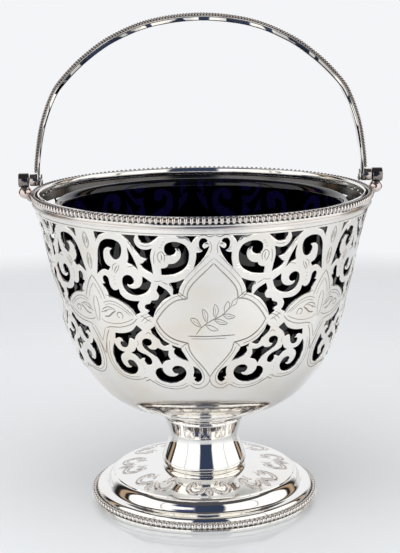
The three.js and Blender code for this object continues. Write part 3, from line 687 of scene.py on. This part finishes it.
def make_bowl():
    """One half sector is drawn flat with its openings, mirrored, repeated and bent round."""
    spare_side, spare_end, softened, filed = 4, 3, 0.12, 0.06
    sector = HALF_SECTOR * BOWL_DEGREE
    left, right = -spare_side, sector + spare_side
    low, high = -spare_end, bowl_course.length + spare_end
    border = [(left, low), (right, low), (right, high), (left, high)]
    holes = []
    for outline in OPENINGS.values():
        placed = [(*bowl_place(*p[:2]), *p[2:]) for p in outline]
        holes.append(flowing(placed, STROKE_STEP, loop=True))
    bowl = sheet_of("pierced_bowl", [border, *holes], BOWL_WALL, softened, level=-BOWL_WALL / 2, filed=filed)
    for axis, end in ((X, sector), (Y, bowl_course.length)):
        cut_across(bowl, axis, [0], clear_inner=True)
        cut_across(bowl, axis, [end], clear_outer=True)
    cut_across(bowl, X, np.arange(BOWL_COLUMN, HALF_SECTOR, BOWL_COLUMN) * BOWL_DEGREE)
    cut_across(bowl, Y, np.arange(BOWL_ROW, bowl_course.length, BOWL_ROW))
    finish_with(bowl, "MIRROR", merge_threshold=CLOSE)
    repeat_along(bowl, SECTORS, 2 * sector, **MERGED)
    paint(bowl, metal["bowl"], metal["unpolished_shaded"])
    # Faces on the inside take a near-black silver: painted shade on the bowl's inner wall
    for face in bowl.data.polygons:
        face.material_index = int(face.normal.z < -0.5)
    smooth(bowl, 60)
    finish_with(bowl, "WEIGHTED_NORMAL", weight=100, keep_sharp=True)
    store_normals(bowl)
    wrap(bowl, on_bowl)
    with editing(bowl):
        merge_close()
    with editing(bowl, "DESELECT"):
        bpy.ops.mesh.select_mode(type="EDGE")
        bpy.ops.mesh.select_non_manifold(
            extend=False, use_wire=False, use_boundary=True, use_multi_face=False, use_non_contiguous=False,
            use_verts=False,
        )
        bpy.ops.mesh.bridge_edge_loops()
    restore_normals(bowl, bowl_directions)
    return bowl


def make_engraving():
    """Strokes of one half sector, mirrored, repeated and bent round the bowl, with the spray in front."""
    cuts = cut_lines("bowl_engraving", ENGRAVING, bowl_place)
    finish_with(cuts, "MIRROR", use_mirror_merge=False)
    repeat_along(cuts, SECTORS, 2 * HALF_SECTOR * BOWL_DEGREE)
    cuts = join("bowl_engraving", cuts, cut_lines("spray", SPRAY, bowl_place))
    wrap(cuts, on_bowl)
    return cuts


def make_sprigs(name, strokes):
    """Strokes of half a sprig, mirrored and repeated round the dome of the foot."""
    cuts = cut_lines(name, strokes, dome_place, proud=0.03)
    finish_with(cuts, "MIRROR", use_mirror_merge=False)
    repeat_along(cuts, SPRIGS, 360 / SPRIGS * DOME_DEGREE)
    wrap(cuts, on_dome)
    return cuts


# The handle and its hinges

def strap_half_width(run):
    _, height = hoop_course.at(run)
    share = np.clip((height - PIVOT_HEIGHT - STRAP_WIDENS_FROM) / STRAP_WIDENS_OVER, 0, 1)
    return (STRAP_ENDS + (STRAP_MIDDLE - STRAP_ENDS) * share) / 2


def make_strap():
    """A flat bar, rounded along its edges, wider and thicker in its middle, and bent to the hoop."""
    softened, piece_length, swelling, under_beads = 0.42, 1.2, 0.4, 0.05
    length = hoop_course.length
    # Its half width is 1 at first, so that a factor gives it the right one.
    size = (length * MM, 2 * MM, STRAP_THICKNESS * MM)
    strap = add("handle_band", "cube", size=1, location=(length / 2 * MM, 0, STRAP_DEPTH * MM), scale=size)
    finish_with(strap, "BEVEL", width=softened * MM, segments=3, limit_method="ANGLE")
    cut_across(strap, X, np.arange(piece_length, length - 0.5, piece_length))
    cut_across(strap, Y, [-0.5, 0, 0.5])
    flat = laid_flat(strap)
    half = strap_half_width(flat[:, 0])
    flat[:, 1] *= half - under_beads
    flat[:, 2] += (flat[:, 2] > STRAP_DEPTH) * (half - STRAP_ENDS / 2) * swelling
    move_points(strap, flat)
    wrap(strap, on_hoop)
    return smooth(paint(strap, metal["handle"]), 40)


def make_handle_beads(name, side):
    """A straight row of beads on a wire, spread to the strap's edge and bent to the hoop."""
    pitch, margin, inset = 1.0, 3.2, 0.5
    bead_depth, bead_halves, wire_depth, wire_radius = 0.52, (0.4, 0.5, 0.52), 0.62, 0.34
    count = int((hoop_course.length - 2 * margin) / pitch) + 1
    beads = paint(egg(name, (margin, 0, bead_depth), bead_halves, BEAD_MESH), metal["cast"])
    # The wire is toned near black: painted shade in the gaps between the beads
    wire = paint(rod("wire", wire_radius, margin, pitch, wire_depth, 6, "NOTHING"), metal["bead_gap_shade"])
    beads = join(name, beads, wire)
    repeat_along(beads, count, pitch, **MERGED)
    with editing(beads):
        bpy.ops.mesh.fill_holes(sides=0)
    flat = laid_flat(beads)
    flat[:, 1] += side * (strap_half_width(flat[:, 0]) - inset)
    move_points(beads, flat)
    wrap(beads, on_hoop)
    return smooth(beads, 80)


def barrel(name, radius, start, end, softened, sides=32):
    """Round bar along the pivot line, with softened ends."""
    piece = rod(name, radius, (start + end) / 2, end - start, PIVOT_HEIGHT, sides)
    sharp = math.radians(60)
    finish_with(piece, "BEVEL", width=softened * MM, segments=2, limit_method="ANGLE", angle_limit=sharp)
    return smooth(piece, 40)


def on_side(piece, side):
    """Leaves a piece at the right hinge, or mirrors it to the left one."""
    if side < 0:
        with editing(piece):
            bpy.ops.transform.mirror(constraint_axis=(True, False, False), center_override=(0, 0, 0))
            face_out()
    return piece


def make_eye(side):
    eye = barrel("eye", PIN_HEAD_RADIUS, EYE_START, EYE_END, softened=0.25)
    return on_side(paint(eye, metal["cast"]), side)


def make_pin(name, side):
    head = barrel("pin_head", PIN_HEAD_RADIUS, PIN_START, PIN_HEAD_END, softened=0.15)
    shaft = barrel("pin_shaft", SHAFT_RADIUS, SHAFT_START, PIN_END, softened=0.1, sides=16)
    return on_side(join(name, head, shaft), side)


def make_lug(label, side):
    """Scroll bracket, ball and barrel of one hinge, with a turned recess in the barrel's end."""
    scroll = sheet_of("scroll", [flowing(LUG_OUTLINE, 0.4, loop=True)], LUG_WIDTH, softened=0.5)
    pick(scroll)
    scroll.rotation_euler = (math.pi / 2, 0, 0)
    settle()
    smooth(scroll, 50)
    end_rim, step, recess = 0.45, 0.1, 0.12
    tube = barrel("tube", BARREL_RADIUS, BARREL_START, BARREL_END, softened=0.3)
    with editing(tube, "DESELECT"):
        bpy.ops.mesh.select_mode(type="FACE")
    tube_end = max(tube.data.polygons, key=lambda face: (round(face.center.x, 6), face.area))
    tube_end.select = True
    bpy.ops.object.mode_set(mode="EDIT")
    bpy.ops.mesh.inset(thickness=end_rim * MM)
    bpy.ops.mesh.inset(thickness=step * MM, depth=-recess * MM)
    bpy.ops.object.mode_set(mode="OBJECT")
    ball = smooth(egg("ball", LUG_BALL, LUG_BALL_HALVES, (24, 14)))
    # The barrel and the ball take darker and lighter copies of the cast silver, as painted shade and painted
    # light
    for part, name in ((scroll, "cast"), (tube, "shaded_cast"), (ball, "lit_cast")):
        paint(part, metal[name])
    return on_side(join(label, scroll, tube, ball), side)


# Shader nodes

class Link:
    """A socket's value. Sums, differences and products of links add their own Math nodes."""

    def __init__(self, finish, socket):
        self.finish, self.socket = finish, socket

    def _math(self, operation, *values):
        return self.finish.node("Math", {"operation": operation}, dict(enumerate(values)))

    def __add__(self, other):
        return self._math("ADD", self, other)

    def __sub__(self, other):
        return self._math("SUBTRACT", self, other)

    def __rsub__(self, other):
        return self._math("SUBTRACT", other, self)

    def __mul__(self, other):
        return self._math("MULTIPLY", self, other)

    def __truediv__(self, other):
        return self._math("DIVIDE", self, other)

    def __abs__(self):
        return self._math("ABSOLUTE", self)

    def __getitem__(self, key):
        return Link(self.finish, self.socket.node.outputs[key])

    __radd__ = __add__
    __rmul__ = __mul__


class Finish:
    """A material or world under construction."""

    def __init__(self, owner):
        owner.use_nodes = True
        self.owner, self.tree = owner, owner.node_tree
        self.tree.nodes.clear()

    def node(self, kind, settings=None, sockets=None):
        made = set_all(self.tree.nodes.new("ShaderNode" + kind), settings or {})
        for key, value in (sockets or {}).items():
            if isinstance(value, Link):
                self.tree.links.new(value.socket, made.inputs[key])
            else:
                made.inputs[key].default_value = value
        return Link(self, made.outputs[0] if made.outputs else None)

    def place(self):
        return self.node("TexCoord")["Object"]

    def parts(self, vector):
        return self.node("SeparateXYZ", {}, {0: vector})

    def noise(self, scale, detail=2, roughness=0.5):
        settings = {"Vector": self.place(), "Scale": scale, "Detail": detail, "Roughness": roughness}
        return self.node("TexNoise", {}, settings)

    def blend(self, factor, low, high):
        """A colour between two colours."""
        return self.node("Mix", {"data_type": "RGBA"}, {0: factor, 6: low, 7: high})[2]

    def rescale(self, value, low, high, to_low=0.0, to_high=1.0):
        """A value's way from low to high, eased at both ends."""
        sockets = {0: value, 1: low, 2: high, 3: to_low, 4: to_high}
        return self.node("MapRange", {"interpolation_type": "SMOOTHSTEP"}, sockets)

    def output(self, shader, kind="OutputMaterial"):
        self.node(kind, {}, {"Surface": shader})
        return self.owner


PALE_SILVER = (0.95, 0.94, 0.915)
# Dark colour of the painted reflections on the handle
REFLECTED_DARK = (0.06, 0.06, 0.07, 1)
# Near-black colour of the painted shade in recesses
RECESS_SHADE = (0.03, 0.026, 0.022, 1)


def silver(name, polish=0.03, recess=0, warmth=0.2, tone=PALE_SILVER, satin=None, reflection_patches=0, dents=0):
    """Hand-polished silver: fine wipe marks, cloudy polish and a warm tarnish. Where asked, it has painted
    shade darkening its recesses, dark spots of painted reflection, a satin that comes in as it rises, and
    dents on the faces that look sideways."""
    f = Finish(bpy.data.materials.new(name))
    cloud = f.noise(55, 3)
    wear = f.noise(420, 4, 0.6)
    warm = (tone[0] * 0.9, tone[1] * 0.82, tone[2] * 0.7, 1)
    colour = f.blend(f.rescale(cloud, 0.45, 0.75) * warmth, (*tone, 1), warm)
    # Painted reflection: noise darkens the colour in spots, as if dark surroundings were mirrored there
    if reflection_patches:
        colour = f.blend(f.rescale(f.noise(64, 1), 0.49, 0.54) * reflection_patches, colour, REFLECTED_DARK)
    # Painted shade: where the occlusion node finds the surface closed in, the colour darkens towards near
    # black
    if recess:
        open_sky = f.node("AmbientOcclusion", {"samples": 6}, {"Distance": 0.0016})["AO"]
        colour = f.blend(f.rescale(1 - open_sky, 0.25, 0.8) * recess, colour, RECESS_SHADE)
    rough = polish + cloud * 0.03 + wear * 0.02
    if satin:
        low, high, satin_roughness = satin
        rough = rough + f.rescale(f.parts(f.place())["Z"], low * MM, high * MM) * satin_roughness
    marks = f.noise(2600, 3, 0.6)
    bump = f.node("Bump", {}, {"Strength": 0.02, "Distance": 0.0002, "Height": marks})
    if dents:
        facing = f.parts(f.node("NewGeometry")["Normal"])
        uneven = f.noise(70, 1) * f.rescale(abs(facing["Y"]), 0.5, 0.8, 0.15, 1.0)
        dented = {"Strength": 1.0, "Distance": dents * MM, "Height": uneven, "Normal": bump}
        bump = f.node("Bump", {}, dented)
    look = {"Base Color": colour, "Metallic": 1.0, "Roughness": rough, "Normal": bump}
    return f.output(f.node("BsdfPrincipled", {}, look))


def blue_glass():
    """Deep blue glass, slightly uneven in colour and on its surface."""
    f = Finish(bpy.data.materials.new("deep_blue_glass"))
    bump = f.node("Bump", {}, {"Strength": 0.05, "Distance": 0.0006, "Height": f.noise(38, 2)})
    depth = f.noise(25, 2)
    colour = f.blend(depth, (0.0018, 0.0012, 0.009, 1), (0.0025, 0.0018, 0.021, 1))
    look = {"Base Color": colour, "Roughness": 0.015 + depth * 0.03, "Normal": bump}
    return f.output(f.node("BsdfPrincipled", {}, {**look, "Transmission Weight": 1.0, "IOR": 1.5}))


# What stands round the basket, in degrees from the front, with soft edges from one value to another
BACKDROP = (0.905, 0.912, 0.935, 1)
GAP = (0.035, 0.05, 0.095, 1)
SOFT_BOX = (1.16, 1.15, 1.13, 1)
HAZE = (0.05, 0.06, 0.15, 1)
BLACK = (0.018, 0.016, 0.015, 1)
BROWN = (0.47, 0.34, 0.235, 1)
CEILING = (0.08, 0.078, 0.085, 1)
ROOM_TURN = 3
GAP_EDGE = (17, 21)
HAZE_LEFT_EDGE, HAZE_RIGHT_EDGE, HAZE_FOOT = (-52, -40), (-20, -14), (0.445, 0.475)
SEAM_NEAR_EDGE, SEAM_FAR_EDGE, SEAM_DARKNESS = (58, 59), (60, 61), 0.6
BOX_EDGE, BROWN_NEAR_EDGE, BROWN_FAR_EDGE, BACKDROP_EDGE = (103, 106), (110, 114), (119, 124), (146, 156)
CEILING_EDGE = (0.64, 0.7)


def surroundings(f, east, north, up):
    """A dark gap in front between two tall soft boxes, with haze in the left one and a seam in both, then
    black and brown strips at the sides, a pale backdrop behind and a dark ceiling."""
    turn = f.node("Math", {"operation": "ARCTAN2"}, {0: east, 1: north * -1}) * (180 / math.pi) - ROOM_TURN
    swing = abs(turn)
    front = f.blend(f.rescale(swing, *GAP_EDGE), GAP, SOFT_BOX)
    haze = f.rescale(turn, *HAZE_LEFT_EDGE) * f.rescale(turn, *HAZE_RIGHT_EDGE, 1, 0)
    front = f.blend(haze * f.rescale(up, *HAZE_FOOT), front, HAZE)
    seam = f.rescale(swing, *SEAM_NEAR_EDGE) * f.rescale(swing, *SEAM_FAR_EDGE, 1, 0)
    front = f.blend(seam * SEAM_DARKNESS, front, BLACK)
    sides = f.blend(f.rescale(swing, *BROWN_NEAR_EDGE), BLACK, BROWN)
    sides = f.blend(f.rescale(swing, *BROWN_FAR_EDGE), sides, BLACK)
    around = f.blend(f.rescale(swing, *BOX_EDGE), front, sides)
    around = f.blend(f.rescale(swing, *BACKDROP_EDGE), around, BACKDROP)
    return f.blend(f.rescale(up, *CEILING_EDGE), around, CEILING)


# The table, in metres from its middle, and its front as the part of that which points ahead
TABLE_COLOURS = (0.835, 0.862, 0.885, 1), (0.865, 0.888, 0.905, 1)
TABLE_GLOSS, TABLE_DULLER, TABLE_DULLER_EDGE = 0.05, 0.4, (0.13, 0.3)
TABLE_FRONT, TABLE_FRONT_END, TABLE_END = (-0.7, -0.5), (0.2, 0.225), (0.38, 0.47)
REAR = (0.6, 0.8)


def table_top():
    """Pale glossy table that ends some way off, sooner in front, where the surroundings take over. The
    camera and the glass see it go on as the plain background."""
    f = Finish(bpy.data.materials.new("pale_table"))
    spot = f.place()
    level = f.parts(spot)
    away = f.node("VectorMath", {"operation": "LENGTH"}, {0: spot})["Value"]
    colour = f.blend(f.noise(3, 2), *TABLE_COLOURS)
    rough = TABLE_GLOSS + f.rescale(away, *TABLE_DULLER_EDGE) * TABLE_DULLER
    near = f.node("BsdfPrincipled", {}, {"Base Color": colour, "Roughness": rough})
    rays = f.node("LightPath")
    direct = rays["Is Camera Ray"]
    around = surroundings(f, level["X"], level["Y"], 0.0)
    beyond = f.blend(direct + rays["Is Transmission Ray"], around, BACKDROP)
    far = f.node("Emission", {}, {"Color": beyond, "Strength": 1.0})
    in_front = f.rescale(level["Y"] / away, *TABLE_FRONT, 1, 0) * (1 - direct)
    ends = f.rescale(away, *TABLE_FRONT_END) * in_front + f.rescale(away, *TABLE_END) * (1 - in_front)
    return f.output(f.node("MixShader", {}, {0: ends, 1: near, 2: far}))


def studio(world):
    """The surroundings all round. The camera and the glass see the plain background, metal its rear."""
    f = Finish(world)
    direction = f.parts(f.node("TexCoord")["Generated"])
    colour = surroundings(f, direction["X"], direction["Y"], direction["Z"])
    rays = f.node("LightPath")
    rear = f.rescale(direction["Y"], *REAR)
    plain = rays["Is Camera Ray"] + rays["Is Transmission Ray"] + rays["Is Glossy Ray"] * rear
    seen = f.blend(f.node("Clamp", {}, {"Value": plain}), colour, BACKDROP)
    return f.output(f.node("Background", {}, {"Color": seen, "Strength": 1.0}), "OutputWorld")


# How each kind of silver on the basket differs from plain polished silver
# recess sets how far painted shade darkens the hollows of a silver
SILVERS = {
    "polished": dict(),
    "bowl": dict(polish=0.02, warmth=0.5, tone=(0.965, 0.94, 0.9), satin=(40, 56, 0.09)),
    "beaded": dict(polish=0.08, recess=0.55, warmth=0.7, tone=(0.84, 0.79, 0.77)),
    "foot_beaded": dict(polish=0.1, recess=0.3, warmth=0.3, tone=(0.98, 0.95, 0.92)),
    "rim": dict(polish=0.04, recess=0.9, warmth=0.4),
    # The cast silvers are toned down as painted shade and dark reflections, the barrel's copy darkest and
    # the ball's lightest
    "cast": dict(polish=0.08, recess=0.9, warmth=0.8, tone=(0.56, 0.5, 0.47)),
    "lit_cast": dict(polish=0.1, recess=0.7, warmth=0.7, tone=(0.76, 0.66, 0.62)),
    "shaded_cast": dict(polish=0.12, recess=0.9, warmth=0.6, tone=(0.26, 0.235, 0.225)),
    # The handle's dark spots are painted reflections of the dark surroundings
    "handle": dict(polish=0.05, warmth=0.5, tone=(0.94, 0.92, 0.89), reflection_patches=0.5, dents=9),
    "engraved": dict(polish=0.16, warmth=0.5, tone=(0.42, 0.39, 0.36)),
    "bright_cut": dict(polish=0.2, warmth=0.3, tone=(0.86, 0.82, 0.79)),
    "sprig": dict(polish=0.17, warmth=0.3, tone=(0.91, 0.87, 0.85)),
    "matted": dict(polish=0.32, warmth=0.3, tone=(0.91, 0.87, 0.84)),
    # Rough inside silver, toned near black as painted shade
    "unpolished_shaded": dict(polish=0.16, warmth=0.5, tone=(0.12, 0.115, 0.115)),
    # Near-black wire silver: painted shade between the handle's beads
    "bead_gap_shade": dict(polish=0.4, warmth=0.5, tone=(0.13, 0.11, 0.1)),
}
metal = {name: silver(name + "_silver", **look) for name, look in SILVERS.items()}


# The pieces, each with its body, its material slot and the node that it stands for

def dress(piece, body, material=None, node=None):
    """Gives a piece its material, if it lacks one, and its body, and hides what it replaces."""
    if material:
        piece.data.materials.clear()
        paint(piece, material)
    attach(piece, body)
    if node:
        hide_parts(node)


def dress_basket(slot, piece, material=None):
    """Dresses a piece of the basket that stands for the node of its slot's name."""
    dress(piece, "basket", material, slot)


# Foot and stem
dress_basket("foot_base_ring", turned("base_ring", BASE_RING), metal["polished"])
dress_basket("foot", shell("domed_foot", flowing(FOOT_OUTSIDE, TURNED_STEP), FOOT_WALL), metal["polished"])
dress_basket("foot_bead_wire", bead_ring("foot_beads", "foot_beaded", "matted", FOOT_BEADS))
dress_basket("stem_ring", turned("thin_stem_ring", flowing(STEM_RING, 0.6), steps=96), metal["polished"])
collar_outline = [*flowing(COLLAR_OUTSIDE, TURNED_STEP), *COLLAR_BORE]
dress_basket("stem_collar", turned("stem_collar_trumpet", collar_outline, steps=128), metal["polished"])

# Bowl, cut ornament and rim
dress_basket("bowl", make_bowl())
dress(make_engraving(), "basket", metal["engraved"])
dress(make_sprigs("sprig_bands", SPRIG_BANDS), "basket", metal["sprig"])
dress(make_sprigs("sprig_lines", SPRIG_LINES), "basket", metal["bright_cut"])
dress_basket("rim_moulding", turned("rim_lip", flowing(RIM_LIP, 0.6), steps=192), metal["rim"])
moulding = turned("band_moulding", flowing(BAND_MOULDING, 0.3), steps=192)
dress_basket("rim_moulding", moulding, metal["matted"])
# The rim's bead wire takes the dark engraved silver: painted shade in the gaps between the beads
dress_basket("rim_bead_wire", bead_ring("rim_beads", "beaded", "engraved", RIM_BEADS))

# Glass liner
liner = turned("blue_liner", flowing(LINER, 0.9), ring=False)
dress(liner, "liner", blue_glass(), "glass_liner")

# Handle and hinges
strap = join("handle_band", make_strap(), make_eye(1), make_eye(-1))
dress(strap, "handle", node="handle_strap")
for label, side in (("front", -1), ("back", 1)):
    beads = make_handle_beads("handle_beads_" + label, side)
    dress(beads, "handle", node="handle_bead_wire_" + label)
for label, side in (("right", 1), ("left", -1)):
    dress(make_lug("lug_" + label, side), "basket", node="hinge_lug_" + label)
    dress(make_pin("pin_" + label, side), "basket", metal["polished"], "hinge_pin_" + label)

# Table, light and camera, in metres and watts; focal length and shift are in the photograph's pixels
TABLE_RADIUS = 6
LAMP_PLACE, LAMP_AIM, LAMP_SIZE, LAMP_POWER = (-0.1, -0.25, 1.2), (0, 0, 0.06), 1.6, 13.6
CAMERA_AWAY, CAMERA_HEIGHT, CAMERA_TURN, CAMERA_TILT, CAMERA_ROLL = 0.4792, 0.1833, 3.3, 12.19, 0.53
PHOTO_HEIGHT, FOCAL_LENGTH, SHIFT, SENSOR = 553, 1394.5, -2.41, 36

table = add("table_top", "circle", vertices=96, radius=TABLE_RADIUS, fill_type="NGON", location=(0, 0, 0))
paint(table, table_top())

scene = bpy.context.scene
scene.world = studio(bpy.data.worlds.new("studio"))
lamp = bpy.data.objects.new("overhead", bpy.data.lights.new("overhead", "AREA"))
lamp.data.shape = "DISK"
lamp.data.size = LAMP_SIZE
lamp.data.energy = LAMP_POWER
lamp.visible_glossy = False
lamp.location = LAMP_PLACE
lamp.rotation_euler = (Vector(LAMP_AIM) - lamp.location).to_track_quat("-Z", "Y").to_euler()
scene.collection.objects.link(lamp)

turn, tilt, roll = (math.radians(v) for v in (CAMERA_TURN, CAMERA_TILT, CAMERA_ROLL))
ahead = Vector((math.sin(turn) * math.cos(tilt), math.cos(turn) * math.cos(tilt), -math.sin(tilt)))
level = Vector((math.cos(turn), -math.sin(turn), 0))
above = level.cross(ahead)
across = level * math.cos(roll) - above * math.sin(roll)
upright = level * math.sin(roll) + above * math.cos(roll)
camera = bpy.data.objects.new("camera", bpy.data.cameras.new("camera"))
camera.data.sensor_width = SENSOR
camera.data.lens = FOCAL_LENGTH / PHOTO_HEIGHT * SENSOR
camera.data.shift_x = SHIFT / PHOTO_HEIGHT
camera.data.clip_start = 0.02
camera.matrix_world = Matrix((across, upright, -ahead)).transposed().to_4x4()
camera.location = (-CAMERA_AWAY * math.sin(turn), -CAMERA_AWAY * math.cos(turn), CAMERA_HEIGHT)
scene.collection.objects.link(camera)
scene.camera = camera
scene.view_settings.view_transform = "Standard"
